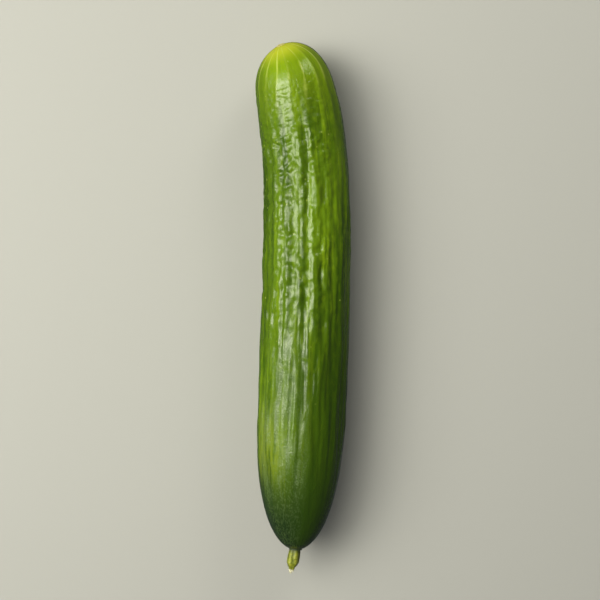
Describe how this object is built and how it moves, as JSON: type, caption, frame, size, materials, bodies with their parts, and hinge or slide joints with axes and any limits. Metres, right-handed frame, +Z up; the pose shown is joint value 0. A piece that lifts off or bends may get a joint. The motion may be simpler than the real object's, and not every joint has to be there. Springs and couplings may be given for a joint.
{
  "type": "cucumber",
  "caption": "Small smooth-skinned cucumber, slightly bowed, with a blunt ribbed blossom end, a tapering neck and the torn stub of its stem.",
  "frame": {"origin": "Middle of the footprint of the fruit with its stem, on the surface that it lies on.", "axes": "+Z up. +Y along the fruit towards its blossom end, with the stem towards -Y. The fruit bows towards +X."},
  "size_m": [0.034, 0.1898, 0.0314],
  "materials": {
    "skin": "waxy green skin, yellow-green at the blossom end and darker at the neck",
    "stem": "dull olive-green stub with a pale torn end"
  },
  "bodies": {
    "root": {"fruit": "skin", "stem": "stem"}
  },
  "joints": []
}
